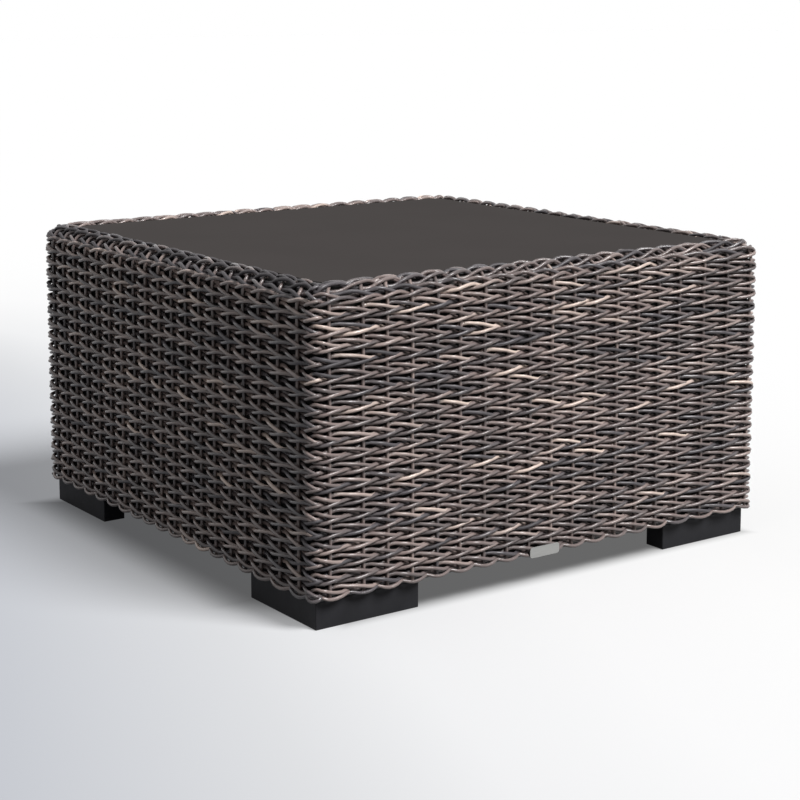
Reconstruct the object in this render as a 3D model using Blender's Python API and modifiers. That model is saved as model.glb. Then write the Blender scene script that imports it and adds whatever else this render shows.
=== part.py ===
"""A square coffee table: a woven resin wall with a rolled rim round a welded aluminium frame,
a loose glass top set inside the rim, and four L-shaped feet. Metres, +Z up, origin on the floor."""

import math

import bmesh
import bpy
from mathutils import Matrix, Vector

# Overall sizes
TABLE_WIDTH = 0.800  # outside of the weave, both ways
TABLE_HEIGHT = 0.452  # floor to the top of the rolled rim

# Weave
WEAVE_THICKNESS = 0.0147  # a strand in front, the stake and a strand behind
RIM_WRAP = math.radians(120)  # how far the rim rolls over the top rail, from level with its axis
WALL_LIFT = 0.001  # lower edge of the weave above the top of the feet

# Rows of the weave, twined in pairs that nest together
ROW_PITCH = 0.01008  # on the middle of the weave's thickness
FIRST_ROW_LIFT = 0.0052  # above the lower edge of the weave
ROW_NEST = 0.0019  # how far the lower row of a pair sits up towards the upper one
ROW_FACE = 0.0036  # flat crest of a row
NOTCH_DEPTH = 0.0045  # between the two rows of a pair
BEHIND_GROOVE = 0.0062  # thickness left behind the deeper groove between pairs

# Frame tubes
TUBE_DIAMETER = 0.025  # posts and top rails
TUBE_WALL = 0.0015
BASE_RAIL_WIDTH = 0.025
BASE_RAIL_HEIGHT = 0.025
LEDGE_WIDTH = 0.025  # bars under the edge of the glass, and the two that cross below it
LEDGE_HEIGHT = 0.015
BAR_EDGE_RADIUS = 0.002  # outside edges of the rectangular tubes
CROSS_BAR_OFFSET = 0.120  # each cross bar from the middle of the table
PLUG_SPIGOT_LENGTH = 0.015

# Glass
GLASS_THICKNESS = 0.005
GLASS_DROP = 0.0046  # top of the glass below the top of the rim
GLASS_CLEARANCE = 0.003  # edge of the glass to the rim
GLASS_CORNER_RADIUS = 0.020
GLASS_EDGE_POLISH = 0.0008
BUMPER_DIAMETER = 0.014
BUMPER_HEIGHT = 0.003
BUMPER_CHAMFER = 0.0006
LEDGE_BUMPER_INSET = 0.07575  # bumpers on the front and back ledges, from the side edges of the glass
BAR_BUMPER_INSET = 0.1941  # bumpers on the cross bars, from the ends of the bars

# Feet
FOOT_HEIGHT = 0.037
FOOT_LEG_LENGTH = 0.163
FOOT_LEG_WIDTH = 0.035
FOOT_WALL = 0.004
FOOT_ROOF = 0.006
FOOT_EDGE_RADIUS = 0.0012
SCREW_FROM_CORNER = 0.120  # along each leg, from the outer corner of the foot
SCREW_SHANK_DIAMETER = 0.0042
SCREW_HEAD_DIAMETER = 0.009
SCREW_HEAD_HEIGHT = 0.003
SCREW_REACH = 0.008  # above the top of the foot
SCREW_TIP = 0.003
BOSS_DIAMETER = 0.013
BOSS_FLOOR_CLEARANCE = 0.012  # lower end of each screw boss above the floor

# Plate on the lower border
PLATE_LENGTH = 0.052
PLATE_HEIGHT = 0.015
PLATE_THICKNESS = 0.001
PLATE_CORNER_RADIUS = 0.004
PLATE_FROM_MIDDLE = -0.017
PLATE_LIFT = 0.0005  # above the lower edge of the weave

# Fits and facets
GAP = 0.0003  # between pieces that touch
LEAST_RADIUS = 0.0005  # corner of a loop that has no radius of its own
ROUND_SEGMENTS = 24
SMALL_ROUND_SEGMENTS = 12
CORNER_STEPS = 6
WEAVE_CORNER_STEPS = 4
ROLL_STEPS = 8
DOME_STEPS = 4
EDGE_STEPS = 2

# Places that follow from the sizes
FRAME_OUT = TABLE_WIDTH / 2 - WEAVE_THICKNESS - GAP
AXIS = FRAME_OUT - TUBE_DIAMETER / 2
RAIL_Z = TABLE_HEIGHT - WEAVE_THICKNESS - GAP - TUBE_DIAMETER / 2
BASE_Z = FOOT_HEIGHT + GAP
WALL_BOTTOM_Z = FOOT_HEIGHT + WALL_LIFT
ROLL_INNER = TUBE_DIAMETER / 2 + GAP
ROLL_OUTER = ROLL_INNER + WEAVE_THICKNESS
ROLL_MIDDLE = (ROLL_INNER + ROLL_OUTER) / 2
RIM_END = RAIL_Z + RIM_WRAP * ROLL_MIDDLE
GROOVE_DEPTH = WEAVE_THICKNESS - BEHIND_GROOVE
GLASS_HALF = AXIS + ROLL_OUTER * math.cos(RIM_WRAP) - GLASS_CLEARANCE
GLASS_TOP_Z = TABLE_HEIGHT - GLASS_DROP
GLASS_BOTTOM_Z = GLASS_TOP_Z - GLASS_THICKNESS
BUMPER_Z = GLASS_BOTTOM_Z - GAP - BUMPER_HEIGHT
LEDGE_TOP_Z = BUMPER_Z - GAP
LEDGE_OUT = AXIS - TUBE_DIAMETER / 2 - GAP
LEDGE_IN = LEDGE_OUT - LEDGE_WIDTH
BASE_RAIL_AXIS = FRAME_OUT - BASE_RAIL_WIDTH / 2
SCREW_HOLE_RADIUS = SCREW_SHANK_DIAMETER / 2 + GAP
SCREW_PLACE = FRAME_OUT - SCREW_FROM_CORNER

SIDES = ("front", "right", "back", "left")
CORNERS = ("front_left", "front_right", "back_right", "back_left")


def clear_scene():
    for obj in list(bpy.data.objects):
        bpy.data.objects.remove(obj, do_unlink=True)


def new_collection(name):
    collection = bpy.data.collections.new(name)
    bpy.context.scene.collection.children.link(collection)
    return collection


def principled(name, colour, roughness, metallic=0.0):
    material = bpy.data.materials.new(name)
    material.use_nodes = True
    shader = material.node_tree.nodes["Principled BSDF"]
    shader.inputs["Base Color"].default_value = (*colour, 1.0)
    shader.inputs["Roughness"].default_value = roughness
    shader.inputs["Metallic"].default_value = metallic
    return material


clear_scene()
TABLE = new_collection("woven_coffee_table")
CUTTERS = new_collection("cutters")
POST_CUTTERS = new_collection("post_cutters")
SCREW_CUTTERS = new_collection("screw_cutters")
POCKET_CUTTERS = new_collection("pocket_cutters")
HOLLOW_CUTTERS = new_collection("hollow_cutters")

WEAVE = principled("woven_resin", (0.075, 0.066, 0.062), 0.5)
COATING = principled("black_coated_aluminium", (0.02, 0.02, 0.021), 0.45)
GLASS = principled("tinted_glass", (0.075, 0.067, 0.063), 0.25)
BUMPER = principled("soft_bumper", (0.30, 0.31, 0.31), 0.6)
FOOT = principled("black_moulding", (0.025, 0.025, 0.027), 0.5)
STEEL = principled("zinc_plated_steel", (0.6, 0.6, 0.58), 0.35, 1.0)
SILVER = principled("satin_silver", (0.62, 0.62, 0.60), 0.35, 1.0)


def place(name, data, material, turn=0.0, at=(0.0, 0.0, 0.0)):
    """A named piece of the table, turned about the table's middle."""
    obj = bpy.data.objects.new(name, data)
    TABLE.objects.link(obj)
    obj.location = Matrix.Rotation(turn, 3, "Z") @ Vector(at)
    obj.rotation_euler = (0.0, 0.0, turn)
    if not data.materials:
        data.materials.append(material)
    return obj


def place_cutter(name, data, collection, turn=0.0):
    cutter = bpy.data.objects.new(name, data)
    collection.objects.link(cutter)
    cutter.rotation_euler = (0.0, 0.0, turn)
    cutter.hide_render = True
    cutter.display_type = "WIRE"
    return cutter


def quarter_turns(names):
    return [(name, index * math.pi / 2) for index, name in enumerate(names)]


def cut(obj, collection):
    modifier = obj.modifiers.new("cut_" + collection.name, "BOOLEAN")
    modifier.operation = "DIFFERENCE"
    modifier.operand_type = "COLLECTION"
    modifier.collection = collection


def arc(centre, radius, start, end, steps):
    angles = [start + (end - start) * step / steps for step in range(steps + 1)]
    return [(centre[0] + radius * math.cos(a), centre[1] + radius * math.sin(a)) for a in angles]


def rounded_rectangle(half_x, half_y, radius, steps):
    """Corner arcs of a rectangle about the origin, anticlockwise."""
    points = []
    for quarter, (sx, sy) in enumerate(((1, 1), (-1, 1), (-1, -1), (1, -1))):
        centre = (sx * (half_x - radius), sy * (half_y - radius))
        start = quarter * math.pi / 2
        points += arc(centre, radius, start, start + math.pi / 2, steps)
    return points


def finish_mesh(name, mesh_edit):
    bmesh.ops.recalc_face_normals(mesh_edit, faces=mesh_edit.faces)
    mesh = bpy.data.meshes.new(name)
    mesh_edit.to_mesh(mesh)
    mesh_edit.free()
    mesh.shade_smooth()
    mesh.set_sharp_from_angle(angle=math.radians(35))
    return mesh


def loft_ring(name, loops):
    """A closed skin through loops of equally many points, the last joined to the first."""
    mesh_edit = bmesh.new()
    rings = [[mesh_edit.verts.new(point) for point in loop] for loop in loops]
    for ring, following in zip(rings, rings[1:] + rings[:1]):
        for index in range(len(ring)):
            after = (index + 1) % len(ring)
            mesh_edit.faces.new((ring[index], ring[after], following[after], following[index]))
    return finish_mesh(name, mesh_edit)


def loft_tower(name, loops):
    """A skin through loops of equally many points, with the first and the last filled."""
    mesh_edit = bmesh.new()
    rings = [[mesh_edit.verts.new(point) for point in loop] for loop in loops]
    for ring, following in zip(rings, rings[1:]):
        for index in range(len(ring)):
            after = (index + 1) % len(ring)
            mesh_edit.faces.new((ring[index], ring[after], following[after], following[index]))
    mesh_edit.faces.new(rings[0])
    mesh_edit.faces.new(rings[-1])
    return finish_mesh(name, mesh_edit)


def turned(name, profile, steps):
    """A profile in the XZ plane, from the top of the axis down its outer side to the foot of the axis."""
    mesh_edit = bmesh.new()
    verts = [mesh_edit.verts.new((radius, 0.0, z)) for radius, z in profile]
    for upper, lower in zip(verts, verts[1:]):
        mesh_edit.edges.new((upper, lower))
    mesh = bpy.data.meshes.new(name)
    mesh_edit.to_mesh(mesh)
    mesh_edit.free()
    return mesh, steps


def place_turned(name, shape, material, turn=0.0, at=(0.0, 0.0, 0.0)):
    mesh, steps = shape
    obj = place(name, mesh, material, turn, at)
    screw = obj.modifiers.new("turn", "SCREW")
    screw.axis = "Z"
    screw.steps = steps
    screw.render_steps = steps
    screw.use_merge_vertices = True
    screw.merge_threshold = 0.00001
    return obj


def flat_outline(name, outlines, thickness):
    """A flat plate about the XY plane. A second outline is a hole in the first."""
    curve = bpy.data.curves.new(name, "CURVE")
    curve.dimensions = "2D"
    curve.fill_mode = "BOTH"
    curve.extrude = thickness / 2
    for outline in outlines:
        spline = curve.splines.new("POLY")
        spline.points.add(len(outline) - 1)
        for point, (x, y) in zip(spline.points, outline):
            point.co = (x, y, 0.0, 1.0)
        spline.use_cyclic_u = True
    return curve


def outline_mesh(name, outlines, bottom, top):
    """The same plate as a welded mesh that a Boolean can use."""
    curve = flat_outline(name, outlines, top - bottom)
    carrier = bpy.data.objects.new(name, curve)
    bpy.context.scene.collection.objects.link(carrier)
    evaluated = carrier.evaluated_get(bpy.context.evaluated_depsgraph_get())
    mesh = bpy.data.meshes.new_from_object(evaluated)
    bpy.data.objects.remove(carrier, do_unlink=True)
    mesh_edit = bmesh.new()
    mesh_edit.from_mesh(mesh)
    bmesh.ops.remove_doubles(mesh_edit, verts=mesh_edit.verts, dist=0.00001)
    bmesh.ops.translate(mesh_edit, verts=mesh_edit.verts, vec=(0.0, 0.0, (bottom + top) / 2))
    return finish_mesh(name, mesh_edit)


def cylinder_mesh(name, radius, bottom, top, at, segments, capped=True):
    mesh_edit = bmesh.new()
    middle = Matrix.Translation((at[0], at[1], (bottom + top) / 2))
    bmesh.ops.create_cone(
        mesh_edit,
        cap_ends=capped,
        segments=segments,
        radius1=radius,
        radius2=radius,
        depth=top - bottom,
        matrix=middle,
    )
    return finish_mesh(name, mesh_edit)


def soften(obj, width):
    bevel = obj.modifiers.new("soft_edges", "BEVEL")
    bevel.width = width
    bevel.segments = EDGE_STEPS
    bevel.limit_method = "ANGLE"


def weld(obj):
    modifier = obj.modifiers.new("weld", "WELD")
    modifier.merge_threshold = 0.00001


def mitred_tube(name, outer, inner):
    """A hollow rail of the front side. The outlines are (distance from the middle, height), and the
    ends are mitred to the neighbouring rails as far out as the post's axis."""

    def section(outline, end):
        return [(end * (min(out, AXIS) - GAP), -out, z) for out, z in outline]

    return loft_ring(name, [section(outer, 1), section(outer, -1), section(inner, -1), section(inner, 1)])


def shifted(points, out, z):
    return [(out + u, z + v) for u, v in points]


def round_section(radius, out, z):
    return arc((out, z), radius, 0.0, 2 * math.pi, ROUND_SEGMENTS)[:-1]


def bar_section(width, height, inset, out, z):
    """Outline of a rectangular tube with rounded edges, drawn in by inset."""
    radius = max(BAR_EDGE_RADIUS - inset, LEAST_RADIUS)
    outline = rounded_rectangle(width / 2 - inset, height / 2 - inset, radius, EDGE_STEPS)
    return shifted(outline, out, z)


def square_loop(half, radius, z, steps):
    outline = rounded_rectangle(half, half, max(radius, LEAST_RADIUS), steps)
    return [(x, y, z) for x, y in outline]


def row_profile(crest_steps):
    """Heights on the middle of the weave's thickness, each with the depth of the outer face there: a
    flat crest for each row, a notch inside each pair of rows and a deeper groove between pairs."""
    first = WALL_BOTTOM_Z + FIRST_ROW_LIFT
    profile = [(WALL_BOTTOM_Z, NOTCH_DEPTH)]
    for row in range(math.ceil((RIM_END - first) / ROW_PITCH) + 1):
        lower_of_pair = row % 2 == 0
        crest = first + row * ROW_PITCH + (ROW_NEST if lower_of_pair else 0.0)
        to_next = ROW_PITCH - ROW_NEST if lower_of_pair else ROW_PITCH + ROW_NEST
        for step in range(crest_steps + 1):
            profile.append((crest + ROW_FACE * (step / crest_steps - 0.5), 0.0))
        profile.append((crest + to_next / 2, NOTCH_DEPTH if lower_of_pair else GROOVE_DEPTH))
    return profile


def depth_at(profile, up):
    low, high = next(pair for pair in zip(profile, profile[1:]) if pair[0][0] <= up <= pair[1][0])
    return low[1] + (high[1] - low[1]) * (up - low[0]) / (high[0] - low[0])


def stretch(profile, low, high):
    """The part of a row profile from one height to another."""
    between = [(up, depth) for up, depth in profile if low + GAP < up < high - GAP]
    return [(low, depth_at(profile, low))] + between + [(high, depth_at(profile, high))]


# Posts, with a domed plug in the top of each, which the rim rolls over
post_mesh = cylinder_mesh(
    "post", TUBE_DIAMETER / 2, BASE_Z, RAIL_Z - GAP, (-AXIS, -AXIS), ROUND_SEGMENTS, capped=False
)
post_cutter_mesh = cylinder_mesh(
    "post_cutter", ROLL_INNER, 0.0, TABLE_HEIGHT, (-AXIS, -AXIS), ROUND_SEGMENTS
)
spigot_radius = TUBE_DIAMETER / 2 - TUBE_WALL - GAP
plug_profile = arc((0.0, RAIL_Z), TUBE_DIAMETER / 2, math.pi / 2, 0.0, DOME_STEPS)
plug_profile[0] = (0.0, RAIL_Z + TUBE_DIAMETER / 2)
plug_profile += [
    (spigot_radius, RAIL_Z),
    (spigot_radius, RAIL_Z - PLUG_SPIGOT_LENGTH),
    (0.0, RAIL_Z - PLUG_SPIGOT_LENGTH),
]
plug_shape = turned("post_plug", plug_profile, ROUND_SEGMENTS)
for corner, turn in quarter_turns(CORNERS):
    post = place("post_" + corner, post_mesh, COATING, turn)
    wall = post.modifiers.new("tube_wall", "SOLIDIFY")
    wall.thickness = TUBE_WALL
    wall.offset = -1.0
    wall.use_even_offset = True
    place_cutter("post_cutter_" + corner, post_cutter_mesh, POST_CUTTERS, turn)
    place_turned("post_plug_" + corner, plug_shape, COATING, turn, (-AXIS, -AXIS, 0.0))

# Top rails, coped to the posts
top_rail_mesh = mitred_tube(
    "top_rail",
    round_section(TUBE_DIAMETER / 2, AXIS, RAIL_Z),
    round_section(TUBE_DIAMETER / 2 - TUBE_WALL, AXIS, RAIL_Z),
)
for side, turn in quarter_turns(SIDES):
    cut(place("top_rail_" + side, top_rail_mesh, COATING, turn), POST_CUTTERS)

# Base rails, coped to the posts and drilled for the foot screws
screw_hole_mesh = [
    cylinder_mesh(
        "screw_hole",
        SCREW_HOLE_RADIUS,
        -FOOT_ROOF,
        BASE_Z + 2 * TUBE_WALL,
        place_xy,
        SMALL_ROUND_SEGMENTS,
    )
    for place_xy in ((-SCREW_PLACE, -BASE_RAIL_AXIS), (-BASE_RAIL_AXIS, -SCREW_PLACE))
]
base_rail_mesh = mitred_tube(
    "base_rail",
    bar_section(BASE_RAIL_WIDTH, BASE_RAIL_HEIGHT, 0.0, BASE_RAIL_AXIS, BASE_Z + BASE_RAIL_HEIGHT / 2),
    bar_section(BASE_RAIL_WIDTH, BASE_RAIL_HEIGHT, TUBE_WALL, BASE_RAIL_AXIS, BASE_Z + BASE_RAIL_HEIGHT / 2),
)
for corner, turn in quarter_turns(CORNERS):
    for leg, mesh in zip("ab", screw_hole_mesh):
        place_cutter(f"screw_hole_{corner}_{leg}", mesh, SCREW_CUTTERS, turn)
for side, turn in quarter_turns(SIDES):
    rail = place("base_rail_" + side, base_rail_mesh, COATING, turn)
    cut(rail, POST_CUTTERS)
    cut(rail, SCREW_CUTTERS)

# Ledge under the edge of the glass, and two bars across it
ledge_z = LEDGE_TOP_Z - LEDGE_HEIGHT / 2
ledge_axis = LEDGE_OUT - LEDGE_WIDTH / 2
ledge_mesh = mitred_tube(
    "glass_ledge",
    bar_section(LEDGE_WIDTH, LEDGE_HEIGHT, 0.0, ledge_axis, ledge_z),
    bar_section(LEDGE_WIDTH, LEDGE_HEIGHT, TUBE_WALL, ledge_axis, ledge_z),
)
for side, turn in quarter_turns(SIDES):
    place("glass_ledge_" + side, ledge_mesh, COATING, turn)


def cross_bar_loop(inset, end):
    outline = bar_section(LEDGE_WIDTH, LEDGE_HEIGHT, inset, CROSS_BAR_OFFSET, ledge_z)
    return [(end * (LEDGE_IN - GAP), -out, z) for out, z in outline]


cross_bar_mesh = loft_ring(
    "glass_bar",
    [cross_bar_loop(inset, end) for inset, end in ((0.0, 1), (0.0, -1), (TUBE_WALL, -1), (TUBE_WALL, 1))],
)
for side, turn in (("front", 0.0), ("back", math.pi)):
    place("glass_bar_" + side, cross_bar_mesh, COATING, turn)

# Bumpers on the ledge and on the bars
bumper_radius = BUMPER_DIAMETER / 2
bumper_shape = turned(
    "glass_bumper",
    [
        (0.0, BUMPER_HEIGHT),
        (bumper_radius - BUMPER_CHAMFER, BUMPER_HEIGHT),
        (bumper_radius, BUMPER_HEIGHT - BUMPER_CHAMFER),
        (bumper_radius, 0.0),
        (0.0, 0.0),
    ],
    SMALL_ROUND_SEGMENTS,
)
for side, turn in (("front", 0.0), ("back", math.pi)):
    for hand, sign in (("left", -1), ("right", 1)):
        seen_from_front = sign if side == "front" else -sign
        ledge_place = (seen_from_front * (GLASS_HALF - LEDGE_BUMPER_INSET), -ledge_axis, BUMPER_Z)
        bar_place = (seen_from_front * (LEDGE_IN - GAP - BAR_BUMPER_INSET), -CROSS_BAR_OFFSET, BUMPER_Z)
        place_turned(f"ledge_bumper_{side}_{hand}", bumper_shape, BUMPER, turn, ledge_place)
        place_turned(f"bar_bumper_{side}_{hand}", bumper_shape, BUMPER, turn, bar_place)

# Glass top, which lifts straight out
glass_outline = rounded_rectangle(GLASS_HALF, GLASS_HALF, GLASS_CORNER_RADIUS, CORNER_STEPS)
glass = place(
    "glass_top",
    flat_outline("glass_top", [glass_outline], GLASS_THICKNESS),
    GLASS,
    at=(0.0, 0.0, GLASS_BOTTOM_Z + GLASS_THICKNESS / 2),
)
weld(glass)
soften(glass, GLASS_EDGE_POLISH)

# Woven wall, round the posts and rails
wall_rows = stretch(row_profile(1), WALL_BOTTOM_Z, RAIL_Z - GAP)
wall_outside = [(TABLE_WIDTH / 2 - depth, up) for up, depth in wall_rows]
wall_mesh = loft_tower(
    "woven_wall", [square_loop(out, out - AXIS, z, WEAVE_CORNER_STEPS) for out, z in wall_outside]
)
hollow = rounded_rectangle(FRAME_OUT + GAP, FRAME_OUT + GAP, ROLL_INNER, CORNER_STEPS)
place_cutter("wall_hollow", outline_mesh("wall_hollow", [hollow], 0.0, TABLE_HEIGHT), HOLLOW_CUTTERS)
cut(place("woven_wall", wall_mesh, WEAVE), HOLLOW_CUTTERS)

# Woven rim, rolled over the top rails and the plugs


def on_roll(radius, up):
    angle = (up - RAIL_Z) / ROLL_MIDDLE
    return AXIS + radius * math.cos(angle), RAIL_Z + radius * math.sin(angle)


roll_out = [on_roll(ROLL_OUTER - depth, up) for up, depth in stretch(row_profile(2), RAIL_Z, RIM_END)]
roll_back = arc((AXIS, RAIL_Z), ROLL_INNER, RIM_WRAP, 0.0, ROLL_STEPS)
rim_mesh = loft_ring(
    "woven_rim", [square_loop(out, out - AXIS, z, CORNER_STEPS) for out, z in roll_out + roll_back]
)
place("woven_rim", rim_mesh, WEAVE)

# Feet, cored from below, with a boss for each screw
near = FRAME_OUT
far = FRAME_OUT - FOOT_LEG_LENGTH
inner = FRAME_OUT - FOOT_LEG_WIDTH


def corner_outline(inset):
    """The L of the front left foot, drawn in by inset, anticlockwise."""
    out, end, side = near - inset, far + inset, inner + inset
    return [(-out, -out), (-end, -out), (-end, -side), (-side, -side), (-side, -end), (-out, -end)]


foot_mesh = outline_mesh("foot", [corner_outline(0.0)], 0.0, FOOT_HEIGHT)
pocket_mesh = outline_mesh("foot_pocket", [corner_outline(FOOT_WALL)], -FOOT_ROOF, FOOT_HEIGHT - FOOT_ROOF)
boss_mesh = [
    cylinder_mesh(
        "screw_boss", BOSS_DIAMETER / 2, BOSS_FLOOR_CLEARANCE, FOOT_HEIGHT, place_xy, SMALL_ROUND_SEGMENTS
    )
    for place_xy in ((-SCREW_PLACE, -BASE_RAIL_AXIS), (-BASE_RAIL_AXIS, -SCREW_PLACE))
]
for corner, turn in quarter_turns(CORNERS):
    pocket = place_cutter("pocket_" + corner, pocket_mesh, POCKET_CUTTERS, turn)
    for leg, mesh in zip("ab", boss_mesh):
        boss = place_cutter(f"boss_{corner}_{leg}", mesh, CUTTERS, turn)
        keep_boss = pocket.modifiers.new("keep_boss_" + leg, "BOOLEAN")
        keep_boss.operation = "DIFFERENCE"
        keep_boss.object = boss
    foot = place("foot_" + corner, foot_mesh, FOOT, turn)
    soften(foot, FOOT_EDGE_RADIUS)
    cut(foot, POCKET_CUTTERS)
    cut(foot, SCREW_CUTTERS)

# Foot screws, up through the bosses into the base rails
shank = SCREW_SHANK_DIAMETER / 2
head = SCREW_HEAD_DIAMETER / 2
seat = BOSS_FLOOR_CLEARANCE - GAP
tip = FOOT_HEIGHT + SCREW_REACH
screw_shape = turned(
    "foot_screw",
    [
        (0.0, tip),
        (shank, tip - SCREW_TIP),
        (shank, seat),
        (head, seat),
        (head, seat - SCREW_HEAD_HEIGHT / 2),
        (head / 2, seat - SCREW_HEAD_HEIGHT),
        (0.0, seat - SCREW_HEAD_HEIGHT),
    ],
    SMALL_ROUND_SEGMENTS,
)
for corner, turn in quarter_turns(CORNERS):
    place_turned(
        f"foot_screw_{corner}_a", screw_shape, STEEL, turn, (-SCREW_PLACE, -BASE_RAIL_AXIS, 0.0)
    )
    place_turned(
        f"foot_screw_{corner}_b", screw_shape, STEEL, turn, (-BASE_RAIL_AXIS, -SCREW_PLACE, 0.0)
    )

# Bare plate on the lower border
plate_outline = rounded_rectangle(PLATE_LENGTH / 2, PLATE_HEIGHT / 2, PLATE_CORNER_RADIUS, CORNER_STEPS)
plate = place(
    "plate",
    flat_outline("plate", [plate_outline], PLATE_THICKNESS),
    SILVER,
    at=(
        PLATE_FROM_MIDDLE,
        -TABLE_WIDTH / 2 - GAP - PLATE_THICKNESS / 2,
        WALL_BOTTOM_Z + PLATE_LIFT + PLATE_HEIGHT / 2,
    ),
)
plate.rotation_euler = (math.pi / 2, 0.0, 0.0)
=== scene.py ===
"""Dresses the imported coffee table: resin strands woven round the frame in countered pairs, a tinted
glass top, black moulded feet and a bare plate, on a pale studio floor. Metres, in the frame's axes."""

import math

import bpy
import numpy as np
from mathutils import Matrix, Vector


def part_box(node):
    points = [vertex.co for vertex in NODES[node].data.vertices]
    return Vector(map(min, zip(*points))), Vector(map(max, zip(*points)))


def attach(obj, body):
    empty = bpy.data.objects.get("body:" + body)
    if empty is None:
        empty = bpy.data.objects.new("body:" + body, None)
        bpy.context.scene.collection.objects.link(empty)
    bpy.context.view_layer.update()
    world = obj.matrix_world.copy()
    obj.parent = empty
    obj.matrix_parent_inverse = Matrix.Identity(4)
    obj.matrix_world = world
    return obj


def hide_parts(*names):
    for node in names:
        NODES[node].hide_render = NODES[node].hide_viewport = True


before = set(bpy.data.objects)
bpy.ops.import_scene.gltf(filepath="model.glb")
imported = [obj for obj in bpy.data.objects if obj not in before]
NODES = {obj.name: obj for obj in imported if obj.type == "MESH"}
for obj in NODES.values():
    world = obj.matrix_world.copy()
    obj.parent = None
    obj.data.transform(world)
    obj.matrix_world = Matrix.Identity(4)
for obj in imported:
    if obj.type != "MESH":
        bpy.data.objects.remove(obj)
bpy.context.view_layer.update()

# Weave sizes
STRAND_RADIUS = 0.0025
STAKE_RADIUS = 0.0024
STAKES_PER_SIDE = 20  # positions, of which the one at each corner has no stake
ROW_PITCH = 0.01008
FIRST_ROW_LIFT = 0.0035  # even place of the lowest row above the lower edge of the weave
ROW_COUNT = 43  # the lowest leans up to the right, and they alternate
ROW_NEST = 0.0036  # how far a row that leans up to the right sits above its even place
BORDER_LIFT = 0.0045  # how far the strands of the lowest row rise on either side of each stake
LAST_ROW_DROP = 0.0075  # how far the last row is pressed down on the row before it
CLIMB_REACH = 0.0029  # how far a strand that leans up climbs and falls as its pair twists
CLIMB_SETTLE = 0.0018  # and how far it sinks where it runs inside
FALL_REACH = 0.0038  # how far a strand that leans down falls and climbs
FALL_SETTLE = 0.0032  # and how far it is lifted where it runs inside
LATE = 0.06  # part of a stake's pitch by which rows that lean up come out late, and the others early
BACK_SWELL = 0.20  # how much broader a strand is where it runs inside
SNAP = 1.4  # how sharply a strand bends in and out between stakes
CORNER_TIGHT = 0.35  # part of a strand's swing in and out that is lost at a corner, where no stake stands
CORNER_SPAN = 0.6  # stakes over which it is lost
SHADE_SHEET_DEPTH = 0.0048  # of the dark sheet behind the stakes, painted shade that closes the gaps to light and darkens them
SHADE_SHEET_OVER = 0.048  # how far the painted shade sheet follows the roll past the rail's middle
RIM_SHADE_SHEET_LIFT = 0.0006  # how far the sheet stands out over the rail, under the last rows
RIM_SHADE_SHEET_RISE = (0.026, 0.034)  # how far past the rail's middle it starts and ends coming out
SHADE_SHEET_THICKNESS = 0.0008
CORNER_SHARE = 0.65  # radius of a turned corner as part of the strand's distance from the post's middle
INNER_CORNER_RADIUS = 0.008  # of strands that turn a corner inside the posts
STAKE_FOOT_LIFT = 0.003  # lower end of a stake above the lower edge of the weave
STAKE_TAIL = 0.003  # upper end of a stake, under the last row

# Weave irregularity
SEED = 7
STAKE_SHIFT = 0.0011
STAKE_MOVES = {  # first and last stake of a run, and the parts of a pitch by which its two ends are moved
    (0, 0): (-0.12, -0.12),
    (1, 1): (-0.31, -0.31),
    (17, 19): (0.25, 0.69),
    (20, 21): (0.45, 0.20),
    (60, 61): (-0.20, -0.30),
    (62, 76): (-0.36, -0.40),
    (77, 79): (-0.38, 0.06),
}
WALL_TONE = 0.46
TONE_RISE = 0.40  # painted shade: how much paler the strands get for each metre up, so they darken towards the bottom
TONE_SPREAD = 0.13  # from strand to strand
TONE_WANDER = 0.14  # along a strand
PALE_WANDER = 0.5  # of the wave whose tops make the pale lengths
PALE_FROM = 0.50  # where those tops start
PALE_RISE = 0.8  # how much paler they get
NEAR_CORNER_TONE = -0.18  # darker strands at the front left corner, partly their own darker tone and partly painted shade
NEAR_CORNER_SPAN = 1.8  # stakes over which it fades
RIM_TONES = (0.20, 0.27, 0.42, -0.10)  # of the topmost rows at the front, right, back and left, darker than the wall below partly by their own tone and partly as painted shade; the dark left one is painted shade
RIM_UP = 0.433  # how high up the weave those rows start
STAKE_TONE = 0.48
STAKE_TONE_SPREAD = 0.15
STAKE_TONE_WAVE = 0.08
STAKE_TONE_RATE = 25.0  # radians for each metre up
STAKE_SWAY = 0.012  # part of a stake's pitch by which it waves to the sides
STAKE_SWAY_RATE = 40.0  # radians for each metre up
ROW_WANDER = 0.00045
DEPTH_WANDER = 0.00035
RADIUS_WANDER = 0.05

# Facets
RINGS_PER_STAKE = 6
STRAND_SIDES = 12
STAKE_SIDES = 8
STAKE_STEP = 0.006
SHADE_SHEET_RINGS = 2
SHADE_SHEET_WALL_STEPS = 6
SHADE_SHEET_RIM_STEPS = 9
OUTWARD_STEP = 0.001

# Camera, fitted to the photograph's corners in an 800 by 800 frame, tilted down a little and shifted
IMAGE_WIDTH_PX = 800
FOCAL_LENGTH_PX = 1844.4
SENSOR_WIDTH_MM = 36.0
CAMERA_PLACE = (-1.6157, -2.3108, 0.8109)
CAMERA_HEADING = math.radians(35.297)
CAMERA_PITCH = math.radians(-8.061)
CAMERA_SHIFT_Y = -0.18

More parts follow.
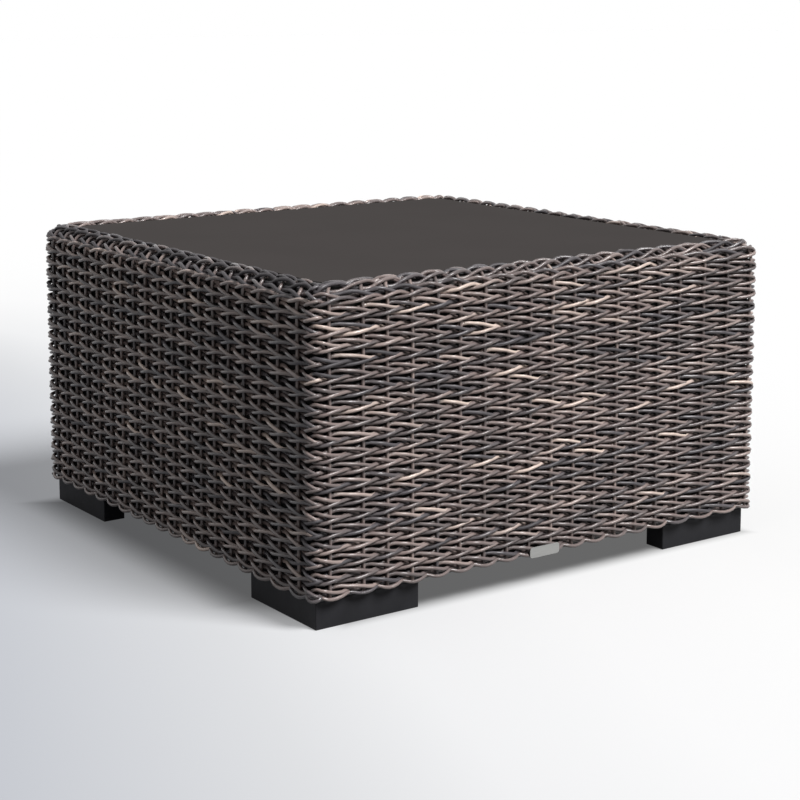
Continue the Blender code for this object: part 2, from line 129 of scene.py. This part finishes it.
# Light
KEY_DIRECTION = (0.26, -0.62, 0.74)  # from the table towards the lamp
KEY_STRENGTH = 4.3
KEY_ANGLE = math.radians(26)
SIDE_FILL = 0.02
TOP_FILL = 0.08
BACKDROP_DIRECTION = (-0.80, 0.42, 0.40)  # from the table towards the pale backdrop
BACKDROP_STRENGTH = 0.40
BACKDROP_EDGE = (0.3, 0.8)  # cosines from that direction at which its light starts and is full
FLOOR_SIZE = 60.0
FLOOR_SHARE = 0.565  # of its paleness that comes from the lamps
SHADED_GLOW = 0.14  # of the floor under the table, kept low as painted shade
FLOOR_GLOW = 0.33  # of the open floor
FLOOR_GREY_ACROSS = (0.40, -0.70)  # distances to the right between which painted shade greys the floor, a falloff of the light towards the left
FLOOR_GREY_TILT = 0.28  # how much that direction leans to the back
FLOOR_GREY_BACK = (3.5, 0.3)  # distances to the back between which it greys
FLOOR_GREY_ROUND = (1.6, 4.2)  # distances from the table between which the painted shade fades out
SHADE_EDGE = (-0.018, 0.036)  # soft edge of the painted shade on the floor, outwards from the posts' line
LEFT_SHADE_EDGE = (0.004, 0.092)  # and on the left, away from the lamp
LEFT_LIT_END = (-0.23, -0.40)  # front end of the left side, along which the painted shade draws in
LEFT_SHADE_DRAW = 0.10  # how far it draws in there
FLOOR_BOUNCE = 0.05  # paleness of the floor to light that falls back on the table

# The weave's middle surface, from the frame
rail_low, rail_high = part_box("top_rail_front")
post_low, post_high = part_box("post_front_left")
wall_low, wall_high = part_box("woven_wall")
AXIS = -(post_low.x + post_high.x) / 2
RAIL_Z = (rail_low.z + rail_high.z) / 2
ROLL_RADIUS = wall_high.x - AXIS - 2 * STRAND_RADIUS - STAKE_RADIUS
WEAVE_BOTTOM = wall_low.z
STAKE_COUNT = 4 * STAKES_PER_SIDE
HALF_ARC = ROLL_RADIUS * math.pi / 4
SIDE_LENGTH = 2 * AXIS + 2 * HALF_ARC
STAKE_PITCH = SIDE_LENGTH / STAKES_PER_SIDE
WEAVE_DEPTH = STRAND_RADIUS + STAKE_RADIUS

rng = np.random.default_rng(SEED)


def on_weave(along, up, depth):
    """Points of the weave: along is counted in stakes, anticlockwise from the front left corner, up is
    measured on the middle surface from the floor, and depth is outwards from that surface."""
    along, up, depth = np.broadcast_arrays(np.mod(along, STAKE_COUNT), up, depth)
    side = np.floor(along / STAKES_PER_SIDE)
    travel = (along - side * STAKES_PER_SIDE) * STAKE_PITCH
    roll = np.maximum(up - RAIL_Z, 0.0) / ROLL_RADIUS
    radius = ROLL_RADIUS + depth
    out = radius * np.cos(roll)
    z = np.where(up < RAIL_Z, up, RAIL_Z + radius * np.sin(roll))
    corner = np.maximum(CORNER_SHARE * out, INNER_CORNER_RADIUS)
    centre = AXIS + out - corner
    straight = np.clip(travel - HALF_ARC, 0.0, 2 * AXIS) - AXIS
    before = np.minimum(travel - HALF_ARC, 0.0)
    after = np.maximum(travel - HALF_ARC - 2 * AXIS, 0.0)
    turn = (before + after) / HALF_ARC * math.pi / 4
    x = straight * centre / AXIS + corner * np.sin(turn)
    y = -centre - corner * np.cos(turn)
    facing = side * math.pi / 2
    return np.stack(
        [x * np.cos(facing) - y * np.sin(facing), x * np.sin(facing) + y * np.cos(facing), z], axis=-1
    )


def wander(along, waves, amplitude):
    """A smooth wave that meets itself round the table."""
    total = np.zeros_like(along)
    for wave in waves:
        phase = rng.uniform(0.0, 2 * math.pi)
        total += np.sin(2 * math.pi * wave * along / STAKE_COUNT + phase)
    return amplitude * total * math.sqrt(2.0 / len(waves))


stake_shift = rng.uniform(-STAKE_SHIFT, STAKE_SHIFT, STAKE_COUNT) / STAKE_PITCH
for (first, last), (start, end) in STAKE_MOVES.items():
    stake_shift[first : last + 1] += np.linspace(start, end, last - first + 1)


def settled(along):
    """Stake counts moved to where the stakes really stand."""
    whole = np.arange(STAKE_COUNT + 1)
    return along + np.interp(np.mod(along, STAKE_COUNT), whole, np.append(stake_shift, stake_shift[0]))


def tube_mesh(path, outward, radius, sides, closed, tone):
    """A round tube along a path. The strand map runs in metres along it and round it."""
    if closed:
        tangent = np.roll(path, -1, axis=0) - np.roll(path, 1, axis=0)
    else:
        tangent = np.gradient(path, axis=0)
    tangent /= np.linalg.norm(tangent, axis=1, keepdims=True)
    side = np.cross(tangent, outward)
    side /= np.linalg.norm(side, axis=1, keepdims=True)
    front = np.cross(side, tangent)
    angle = 2 * math.pi * np.arange(sides) / sides
    ring = front[:, None, :] * np.cos(angle)[None, :, None]
    ring = ring + side[:, None, :] * np.sin(angle)[None, :, None]
    verts = (path[:, None, :] + radius[:, None, None] * ring).reshape(-1, 3)
    count = len(path)
    spans = count if closed else count - 1
    here = np.arange(spans)[:, None] * sides
    there = (np.arange(1, spans + 1) % count)[:, None] * sides
    near = np.arange(sides)[None, :]
    far = (near + 1) % sides
    faces = np.stack([here + near, here + far, there + far, there + near], axis=-1).reshape(-1, 4)
    steps = np.linalg.norm(np.diff(np.vstack([path, path[:1]]), axis=0), axis=1)
    length = np.concatenate([[0.0], np.cumsum(steps)])
    start = np.broadcast_to(length[:spans, None], (spans, sides))
    end = np.broadcast_to(length[1 : spans + 1, None], (spans, sides))
    low = np.broadcast_to(near / sides, (spans, sides))
    high = np.broadcast_to((near + 1) / sides, (spans, sides))
    corners = np.stack(
        [
            np.stack([start, low], -1),
            np.stack([start, high], -1),
            np.stack([end, high], -1),
            np.stack([end, low], -1),
        ],
        axis=2,
    ).reshape(-1, 2)
    face_list = faces.tolist()
    if not closed:
        face_list.append(list(range(sides - 1, -1, -1)))
        face_list.append(list(range((count - 1) * sides, count * sides)))
        corners = np.vstack([corners, np.zeros((2 * sides, 2))])
    return verts, face_list, corners, np.repeat(tone, sides)


def joined_piece(name, tubes, material, node):
    """One piece of several tubes, riding on the frame in place of a woven node."""
    verts = []
    faces = []
    maps = []
    tones = []
    for tube_verts, tube_faces, tube_map, tube_tone in tubes:
        base = sum(len(part) for part in verts)
        verts.append(tube_verts)
        faces += [[base + index for index in face] for face in tube_faces]
        maps.append(tube_map)
        tones.append(tube_tone)
    mesh = bpy.data.meshes.new(name)
    mesh.from_pydata(np.vstack(verts).tolist(), [], faces)
    layer = mesh.uv_layers.new(name="strand")
    layer.data.foreach_set("uv", np.vstack(maps).astype(np.float32).ravel())
    tone = mesh.attributes.new("tone", "FLOAT", "POINT")
    tone.data.foreach_set("value", np.concatenate(tones).astype(np.float32))
    mesh.shade_smooth()
    mesh.materials.append(material)
    piece = bpy.data.objects.new(name, mesh)
    bpy.context.scene.collection.objects.link(piece)
    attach(piece, "frame")
    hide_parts(node)


class Nodes:
    """Short ways to add and link shader nodes."""

    def __init__(self, name):
        self.material = bpy.data.materials.new(name)
        self.material.use_nodes = True
        self.tree = self.material.node_tree
        self.shader = self.tree.nodes["Principled BSDF"]

    def add(self, kind, **settings):
        node = self.tree.nodes.new(kind)
        for key, value in settings.items():
            setattr(node, key, value)
        return node

    def link(self, source, target):
        self.tree.links.new(source, target)

    def noise(self, vector, scale, detail=3.0, roughness=0.5):
        node = self.add("ShaderNodeTexNoise")
        node.inputs["Scale"].default_value = scale
        node.inputs["Detail"].default_value = detail
        node.inputs["Roughness"].default_value = roughness
        self.link(vector, node.inputs["Vector"])
        return node.outputs["Fac"]

    def stretched(self, vector, scale):
        node = self.add("ShaderNodeMapping")
        node.inputs["Scale"].default_value = scale
        self.link(vector, node.inputs["Vector"])
        return node.outputs["Vector"]

    def ramp(self, value, stops):
        node = self.add("ShaderNodeValToRGB")
        elements = node.color_ramp.elements
        while len(elements) < len(stops):
            elements.new(0.5)
        for element, (place, colour) in zip(elements, stops):
            element.position = place
            element.color = (*colour, 1.0)
        self.link(value, node.inputs["Fac"])
        return node.outputs["Color"]

    def between(self, value, low, high):
        node = self.add("ShaderNodeMapRange")
        node.inputs["To Min"].default_value = low
        node.inputs["To Max"].default_value = high
        self.link(value, node.inputs["Value"])
        return node.outputs["Result"]

    def times(self, colour, factor):
        node = self.add("ShaderNodeMix", data_type="RGBA", blend_type="MULTIPLY")
        node.inputs["Factor"].default_value = 1.0
        self.link(colour, node.inputs["A"])
        self.link(factor, node.inputs["B"])
        return node.outputs["Result"]

    def bump(self, height, distance, strength=1.0):
        node = self.add("ShaderNodeBump")
        node.inputs["Distance"].default_value = distance
        node.inputs["Strength"].default_value = strength
        self.link(height, node.inputs["Height"])
        self.link(node.outputs["Normal"], self.shader.inputs["Normal"])

    def set(self, socket, value):
        self.shader.inputs[socket].default_value = value

    def combine(self, operation, first, second):
        node = self.add("ShaderNodeMath", operation=operation)
        self.link(first, node.inputs[0])
        self.link(second, node.inputs[1])
        return node.outputs["Value"]

    def span(self, value, start, end, ease="SMOOTHSTEP"):
        """0 to 1 as a value goes from start to end."""
        node = self.add("ShaderNodeMapRange", interpolation_type=ease)
        node.inputs["From Min"].default_value = start
        node.inputs["From Max"].default_value = end
        self.link(value, node.inputs["Value"])
        return node.outputs["Result"]

    def along(self, place, direction, start, end, ease):
        """0 to 1 from one distance to another along a direction."""
        dot = self.add("ShaderNodeVectorMath", operation="DOT_PRODUCT")
        dot.inputs[1].default_value = direction
        self.link(place, dot.inputs[0])
        return self.span(dot.outputs["Value"], start, end, ease)

    def around(self, place, start, end):
        """1 round the middle of the floor, falling to 0 from one distance to another."""
        away = self.add("ShaderNodeVectorMath", operation="LENGTH")
        self.link(place, away.inputs[0])
        return self.span(away.outputs["Value"], end, start)

    def outside_table(self, place):
        """Mask of the painted shade under the table: 1 on the open floor and 0 under the table. The edge is
        wide on the left, but for its lit end.
        """
        split = self.add("ShaderNodeSeparateXYZ")
        self.link(place, split.inputs["Vector"])
        across = split.outputs["X"]
        back = split.outputs["Y"]
        drawn = self.between(self.span(back, *LEFT_LIT_END, "LINEAR"), 0.0, LEFT_SHADE_DRAW)
        left_place = self.combine("SUBTRACT", across, drawn)
        left = self.span(left_place, -AXIS - LEFT_SHADE_EDGE[0], -AXIS - LEFT_SHADE_EDGE[1])
        right = self.span(across, AXIS + SHADE_EDGE[0], AXIS + SHADE_EDGE[1])
        distance = self.add("ShaderNodeMath", operation="ABSOLUTE")
        self.link(back, distance.inputs[0])
        ends = self.span(distance.outputs["Value"], AXIS + SHADE_EDGE[0], AXIS + SHADE_EDGE[1])
        return self.combine("MAXIMUM", self.combine("MAXIMUM", left, right), ends)

    def object_place(self):
        return self.add("ShaderNodeTexCoord").outputs["Object"]


def strand_material():
    """Mixed-tone resin strand: matt charcoal, taupe and tan lengths with fine drawn streaks."""
    nodes = Nodes("resin_strand")
    tone = nodes.add("ShaderNodeAttribute", attribute_name="tone").outputs["Fac"]
    strand_map = nodes.add("ShaderNodeUVMap", uv_map="strand").outputs["UV"]
    base = nodes.ramp(
        tone,
        (
            (0.0, (0.050, 0.045, 0.049)),
            (0.14, (0.085, 0.076, 0.083)),
            (0.30, (0.136, 0.112, 0.110)),
            (0.56, (0.215, 0.167, 0.157)),
            (0.78, (0.350, 0.278, 0.254)),
            (1.0, (0.630, 0.505, 0.440)),
        ),
    )
    streak = nodes.noise(nodes.stretched(strand_map, (45.0, 9.0, 1.0)), 1.0, 4.0, 0.6)
    nodes.link(nodes.times(base, nodes.between(streak, 0.55, 1.45)), nodes.shader.inputs["Base Color"])
    matt = nodes.ramp(tone, ((0.02, (0.4, 0.4, 0.4)), (0.16, (0.0, 0.0, 0.0))))
    rough = nodes.combine("ADD", nodes.between(streak, 0.12, 0.26), matt)
    nodes.link(rough, nodes.shader.inputs["Roughness"])
    nodes.set("Specular IOR Level", 0.42)
    nodes.bump(streak, 0.0004)
    return nodes.material


def glass_material():
    nodes = Nodes("tinted_glass")
    place = nodes.object_place()
    cloud = nodes.noise(place, 5.0, 3.0)
    colour = nodes.ramp(cloud, ((0.3, (0.0606, 0.0549, 0.0532)), (0.7, (0.0640, 0.0577, 0.0560))))
    nodes.link(colour, nodes.shader.inputs["Base Color"])
    nodes.link(nodes.between(nodes.noise(place, 60.0, 4.0), 0.30, 0.40), nodes.shader.inputs["Roughness"])
    nodes.set("Specular IOR Level", 0.0)
    return nodes.material


def moulded_black():
    """Satin black moulding with a fine grain."""
    nodes = Nodes("black_moulding")
    place = nodes.object_place()
    grain = nodes.noise(place, 900.0, 4.0, 0.6)
    cloud = nodes.noise(place, 30.0, 4.0)
    colour = nodes.ramp(cloud, ((0.3, (0.016, 0.016, 0.018)), (0.7, (0.023, 0.023, 0.026))))
    nodes.link(colour, nodes.shader.inputs["Base Color"])
    nodes.link(nodes.between(grain, 0.42, 0.62), nodes.shader.inputs["Roughness"])
    nodes.set("Specular IOR Level", 0.12)
    nodes.bump(grain, 0.0002, 0.6)
    return nodes.material


def coated_tube():
    """Black powder coat, with its orange-peel surface."""
    nodes = Nodes("black_powder_coat")
    place = nodes.object_place()
    peel = nodes.noise(place, 650.0, 2.0)
    cloud = nodes.noise(place, 18.0)
    colour = nodes.ramp(cloud, ((0.3, (0.012, 0.012, 0.013)), (0.7, (0.018, 0.018, 0.019))))
    nodes.link(colour, nodes.shader.inputs["Base Color"])
    nodes.link(nodes.between(peel, 0.40, 0.58), nodes.shader.inputs["Roughness"])
    nodes.bump(peel, 0.0001, 0.6)
    return nodes.material


def brushed_metal(name, colour, grain_scale, metal):
    nodes = Nodes(name)
    place = nodes.object_place()
    brush = nodes.noise(nodes.stretched(place, grain_scale), 1.0, 4.0, 0.6)
    dark = tuple(0.82 * part for part in colour)
    nodes.link(nodes.ramp(brush, ((0.3, dark), (0.7, colour))), nodes.shader.inputs["Base Color"])
    nodes.link(nodes.between(brush, 0.26, 0.46), nodes.shader.inputs["Roughness"])
    nodes.set("Metallic", metal)
    nodes.bump(brush, 0.0001, 0.5)
    return nodes.material


def soft_bumper():
    nodes = Nodes("soft_bumper")
    place = nodes.object_place()
    cloud = nodes.noise(place, 400.0, 3.0)
    colour = nodes.ramp(cloud, ((0.3, (0.27, 0.28, 0.28)), (0.7, (0.33, 0.34, 0.34))))
    nodes.link(colour, nodes.shader.inputs["Base Color"])
    nodes.link(nodes.between(cloud, 0.45, 0.65), nodes.shader.inputs["Roughness"])
    return nodes.material


# Painted shade: a near-black sheet behind the weave that stands for the shade in its gaps.
def painted_shade_sheet():
    nodes = Nodes("painted_shade_sheet")
    place = nodes.object_place()
    fibre = nodes.noise(nodes.stretched(place, (40.0, 40.0, 900.0)), 1.0, 4.0, 0.6)
    colour = nodes.ramp(fibre, ((0.3, (0.006, 0.006, 0.006)), (0.7, (0.013, 0.012, 0.012))))
    nodes.link(colour, nodes.shader.inputs["Base Color"])
    nodes.link(nodes.between(fibre, 0.7, 0.9), nodes.shader.inputs["Roughness"])
    nodes.set("Specular IOR Level", 0.1)
    nodes.bump(fibre, 0.0005)
    return nodes.material


STRAND = strand_material()
GLASS = glass_material()
MOULDING = moulded_black()
COATING = coated_tube()
SILVER = brushed_metal("satin_silver", (0.39, 0.39, 0.38), (60.0, 2000.0, 2000.0), 0.4)
ZINC = brushed_metal("zinc_plate", (0.62, 0.62, 0.60), (900.0, 900.0, 900.0), 1.0)
RUBBER = soft_bumper()
SHADE_SHEET = painted_shade_sheet()

NODE_MATERIALS = (
    ("foot_screw", ZINC),
    ("foot", MOULDING),
    ("glass_top", GLASS),
    ("plate", SILVER),
    ("ledge_bumper", RUBBER),
    ("bar_bumper", RUBBER),
    ("", COATING),
)
for node_name, node in NODES.items():
    finish = next(material for start, material in NODE_MATERIALS if node_name.startswith(start))
    node.data.materials.clear()
    node.data.materials.append(finish)


def strand_tone(along, strand, middle):
    """One tone for each length that shows, slowly changing along the strand, with a few pale lengths.
    Painted shade darkens it towards the bottom, and in part at the front left corner and on the top rows.
    """
    shown = 2 * np.round((along + strand) / 2) - strand
    own = rng.normal(0.0, TONE_SPREAD)
    # partly painted shade: the topmost rows take a tone for each side, darkest on the left
    side = (shown // STAKES_PER_SIDE).astype(int) % 4
    usual = np.array(RIM_TONES)[side] if middle > RIM_UP else WALL_TONE
    # painted shade: strands darker towards the bottom, paler by TONE_RISE for each metre up
    height = middle - RAIL_Z / 2
    tone = usual + TONE_RISE * height + own + wander(shown, (7, 11, 17, 23), TONE_WANDER)
    # darker at the front left corner: partly the strands' own tone, partly painted shade
    near = (shown + STAKE_COUNT / 2) % STAKE_COUNT - STAKE_COUNT / 2
    tone = tone + NEAR_CORNER_TONE * np.exp(-((near / NEAR_CORNER_SPAN) ** 2))
    pale = np.clip(wander(shown, (9, 13, 19, 29, 37), PALE_WANDER) - PALE_FROM, 0.0, None)
    return np.clip(tone + PALE_RISE * pale, 0.0, 1.0)


def strand_tube(row, strand):
    """One of the two strands of a row: it passes before one stake and behind the next."""
    along = np.arange(STAKE_COUNT * RINGS_PER_STAKE) / RINGS_PER_STAKE + STAKE_COUNT / 2
    twist = math.pi * (along + strand)
    lean = 1.0 if row % 2 == 0 else -1.0
    middle = WEAVE_BOTTOM + FIRST_ROW_LIFT + row * ROW_PITCH + max(lean, 0.0) * ROW_NEST
    if row == ROW_COUNT - 1:
        middle -= LAST_ROW_DROP
    outside = np.cos(twist - lean * LATE * math.pi)
    inside = np.maximum(-outside, 0.0)
    reach, settle = (CLIMB_REACH, CLIMB_SETTLE) if lean > 0 else (FALL_REACH, FALL_SETTLE)
    drift = wander(along, (3, 5, 9, 16, 27), ROW_WANDER)
    if row == 0:
        up = middle - ROW_NEST + BORDER_LIFT * (1.0 - np.maximum(outside, 0.0))
    else:
        up = middle + lean * (reach * np.sin(twist) - settle * inside) + drift
    from_corner = (along - STAKES_PER_SIDE * np.round(along / STAKES_PER_SIDE)) / CORNER_SPAN
    swing = WEAVE_DEPTH * (1.0 - CORNER_TIGHT * np.exp(-(from_corner**2)))
    depth = swing * np.tanh(SNAP * outside) / math.tanh(SNAP) + wander(along, (4, 10, 22), DEPTH_WANDER)
    place = settled(along)
    path = on_weave(place, up, depth)
    outward = on_weave(place, up, depth + OUTWARD_STEP) - path
    radius = STRAND_RADIUS * (1.0 + BACK_SWELL * inside + wander(along, (6, 15, 31), RADIUS_WANDER))
    tone = strand_tone(along, strand, middle)
    return tube_mesh(path, outward, radius, STRAND_SIDES, True, tone)


def weave_rows():
    roll_start = (RAIL_Z - WEAVE_BOTTOM - FIRST_ROW_LIFT) / ROW_PITCH
    for row in range(ROW_COUNT):
        node = "woven_wall" if row < roll_start else "woven_rim"
        tubes = [strand_tube(row, strand) for strand in (0, 1)]
        joined_piece(f"weave_row_{row:02d}", tubes, STRAND, node)


def stake_tube(index):
    last_row = WEAVE_BOTTOM + FIRST_ROW_LIFT + (ROW_COUNT - 1) * ROW_PITCH
    low = WEAVE_BOTTOM + STAKE_FOOT_LIFT
    high = last_row - LAST_ROW_DROP + STAKE_TAIL
    up = np.linspace(low, high, int((high - low) / STAKE_STEP) + 2)
    along = np.full_like(up, settled(np.array([float(index)]))[0])
    sway = rng.uniform(0.0, 2 * math.pi)
    along = along + STAKE_SWAY * np.sin(up * STAKE_SWAY_RATE + sway)
    depth = np.zeros_like(up)
    path = on_weave(along, up, depth)
    outward = on_weave(along, up, depth + OUTWARD_STEP) - path
    radius = np.full_like(up, STAKE_RADIUS)
    own = rng.normal(STAKE_TONE, STAKE_TONE_SPREAD)
    tone = np.clip(own + STAKE_TONE_WAVE * np.sin(up * STAKE_TONE_RATE + sway), 0.0, 1.0)
    return tube_mesh(path, outward, radius, STAKE_SIDES, False, tone)


def weave_shade_sheet():
    """A thin near-black sheet behind the strands, closed round the table: painted shade that darkens the
    gaps of the weave.
    """
    along = np.arange(STAKE_COUNT * SHADE_SHEET_RINGS) / SHADE_SHEET_RINGS + STAKE_COUNT / 2
    low = WEAVE_BOTTOM + FIRST_ROW_LIFT
    high = RAIL_Z + SHADE_SHEET_OVER
    up = np.append(np.linspace(low, RAIL_Z, SHADE_SHEET_WALL_STEPS), np.linspace(RAIL_Z, high, SHADE_SHEET_RIM_STEPS)[1:])
    up = np.concatenate([up, up[::-1]])
    depth = np.interp(up - RAIL_Z, RIM_SHADE_SHEET_RISE, (-SHADE_SHEET_DEPTH, RIM_SHADE_SHEET_LIFT))
    depth[len(depth) // 2 :] -= SHADE_SHEET_THICKNESS
    verts = on_weave(along[:, None], up[None, :], depth[None, :])
    count, sides = verts.shape[:2]
    here = np.arange(count)[:, None] * sides
    there = ((np.arange(count) + 1) % count)[:, None] * sides
    near = np.arange(sides)[None, :]
    far = (near + 1) % sides
    faces = np.stack([here + near, there + near, there + far, here + far], axis=-1).reshape(-1, 4)
    mesh = bpy.data.meshes.new("weave_shade_sheet")
    mesh.from_pydata(verts.reshape(-1, 3).tolist(), [], faces.tolist())
    mesh.materials.append(SHADE_SHEET)
    piece = bpy.data.objects.new("weave_shade_sheet", mesh)
    bpy.context.scene.collection.objects.link(piece)
    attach(piece, "frame")
    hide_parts("woven_wall")


def weave_stakes():
    for side, name in enumerate(("front", "right", "back", "left")):
        indices = range(side * STAKES_PER_SIDE + 1, (side + 1) * STAKES_PER_SIDE)
        tubes = [stake_tube(index) for index in indices]
        joined_piece(f"stakes_{name}", tubes, STRAND, "woven_wall")


def shown_rays(tree):
    """1 for the rays that show a surface: from the camera, in a reflection or through glass."""
    path = tree.nodes.new("ShaderNodeLightPath")
    mirrored = tree.nodes.new("ShaderNodeMath")
    mirrored.operation = "MAXIMUM"
    tree.links.new(path.outputs["Is Glossy Ray"], mirrored.inputs[0])
    tree.links.new(path.outputs["Is Transmission Ray"], mirrored.inputs[1])
    shown = tree.nodes.new("ShaderNodeMath")
    shown.operation = "MAXIMUM"
    tree.links.new(path.outputs["Is Camera Ray"], shown.inputs[0])
    tree.links.new(mirrored.outputs["Value"], shown.inputs[1])
    return shown.outputs["Value"]


def studio_floor():
    """A pale floor with painted shade that greys it towards the left and darkens it under the table, and
    that throws little light back up.
    """
    mesh = bpy.data.meshes.new("studio_floor")
    half = FLOOR_SIZE / 2
    corners = [(-half, -half, 0), (half, -half, 0), (half, half, 0), (-half, half, 0)]
    mesh.from_pydata(corners, [], [(0, 1, 2, 3)])
    nodes = Nodes("studio_floor")
    place = nodes.object_place()
    right = Vector((math.cos(CAMERA_HEADING), -math.sin(CAMERA_HEADING), 0.0))
    ahead = Vector((math.sin(CAMERA_HEADING), math.cos(CAMERA_HEADING), 0.0))
    # painted shade: the floor's colour greys towards the left and the front, as the light falls off
    across = nodes.along(place, right + FLOOR_GREY_TILT * ahead, *FLOOR_GREY_ACROSS, "LINEAR")
    near = nodes.along(place, ahead, *FLOOR_GREY_BACK, "SMOOTHSTEP")
    grey = nodes.combine("MULTIPLY", across, near)
    grey_here = nodes.combine("MULTIPLY", grey, nodes.around(place, *FLOOR_GREY_ROUND))
    pale = nodes.ramp(
        grey_here,
        (
            (0.0, (0.990, 0.990, 0.990)),
            (0.26, (0.957, 0.957, 0.962)),
            (0.5, (0.878, 0.882, 0.893)),
            (0.69, (0.735, 0.745, 0.765)),
            (1.0, (0.560, 0.580, 0.625)),
        ),
    )
    # painted shade: under the table the floor's colour falls to black and its glow to SHADED_GLOW
    outside = nodes.outside_table(place)
    lit = nodes.add("ShaderNodeMix", data_type="RGBA")
    nodes.link(nodes.between(outside, 0.0, FLOOR_SHARE), lit.inputs["Factor"])
    lit.inputs["A"].default_value = (0.0, 0.0, 0.0, 1.0)
    nodes.link(pale, lit.inputs["B"])
    seen = shown_rays(nodes.tree)
    colour = nodes.add("ShaderNodeMix", data_type="RGBA")
    colour.inputs["A"].default_value = (FLOOR_BOUNCE, FLOOR_BOUNCE, FLOOR_BOUNCE, 1.0)
    nodes.link(seen, colour.inputs["Factor"])
    nodes.link(lit.outputs["Result"], colour.inputs["B"])
    nodes.link(colour.outputs["Result"], nodes.shader.inputs["Base Color"])
    nodes.set("Roughness", 0.9)
    nodes.set("Specular IOR Level", 0.0)
    glow = nodes.combine("MULTIPLY", seen, nodes.between(outside, SHADED_GLOW, FLOOR_GLOW))
    nodes.link(pale, nodes.shader.inputs["Emission Color"])
    nodes.link(glow, nodes.shader.inputs["Emission Strength"])
    mesh.materials.append(nodes.material)
    floor = bpy.data.objects.new("studio_floor", mesh)
    bpy.context.scene.collection.objects.link(floor)


def studio_light():
    key = bpy.data.lights.new("key", "SUN")
    key.energy = KEY_STRENGTH
    key.angle = KEY_ANGLE
    lamp = bpy.data.objects.new("key", key)
    lamp.rotation_euler = Vector(KEY_DIRECTION).to_track_quat("Z", "Y").to_euler()
    bpy.context.scene.collection.objects.link(lamp)
    world = bpy.data.worlds.new("studio")
    world.use_nodes = True
    tree = world.node_tree
    sky = tree.nodes["Background"]
    sky.inputs["Color"].default_value = (1.0, 1.0, 1.0, 1.0)
    place = tree.nodes.new("ShaderNodeTexCoord")
    split = tree.nodes.new("ShaderNodeSeparateXYZ")
    tree.links.new(place.outputs["Generated"], split.inputs["Vector"])
    dome = tree.nodes.new("ShaderNodeMapRange")
    dome.inputs["To Min"].default_value = SIDE_FILL
    dome.inputs["To Max"].default_value = TOP_FILL
    tree.links.new(split.outputs["Z"], dome.inputs["Value"])
    towards = tree.nodes.new("ShaderNodeVectorMath")
    towards.operation = "DOT_PRODUCT"
    towards.inputs[1].default_value = Vector(BACKDROP_DIRECTION).normalized()
    tree.links.new(place.outputs["Generated"], towards.inputs[0])
    backdrop = tree.nodes.new("ShaderNodeMapRange")
    backdrop.interpolation_type = "SMOOTHSTEP"
    backdrop.inputs["From Min"].default_value = BACKDROP_EDGE[0]
    backdrop.inputs["From Max"].default_value = BACKDROP_EDGE[1]
    backdrop.inputs["To Max"].default_value = BACKDROP_STRENGTH
    tree.links.new(towards.outputs["Value"], backdrop.inputs["Value"])
    both = tree.nodes.new("ShaderNodeMath")
    both.operation = "ADD"
    tree.links.new(dome.outputs["Result"], both.inputs[0])
    tree.links.new(backdrop.outputs["Result"], both.inputs[1])
    shown = tree.nodes.new("ShaderNodeMix")
    shown.inputs["B"].default_value = 1.0
    tree.links.new(shown_rays(tree), shown.inputs["Factor"])
    tree.links.new(both.outputs["Value"], shown.inputs["A"])
    tree.links.new(shown.outputs["Result"], sky.inputs["Strength"])
    bpy.context.scene.world = world


def camera():
    data = bpy.data.cameras.new("camera")
    data.sensor_width = SENSOR_WIDTH_MM
    data.lens = FOCAL_LENGTH_PX / IMAGE_WIDTH_PX * SENSOR_WIDTH_MM
    data.shift_y = CAMERA_SHIFT_Y
    obj = bpy.data.objects.new("camera", data)
    obj.location = CAMERA_PLACE
    obj.rotation_euler = (math.pi / 2 + CAMERA_PITCH, 0.0, -CAMERA_HEADING)
    bpy.context.scene.collection.objects.link(obj)
    bpy.context.scene.camera = obj


weave_rows()
weave_stakes()
# the near-black sheet of painted shade behind the weave
weave_shade_sheet()
studio_floor()
studio_light()
camera()
bpy.context.scene.view_settings.view_transform = "Standard"
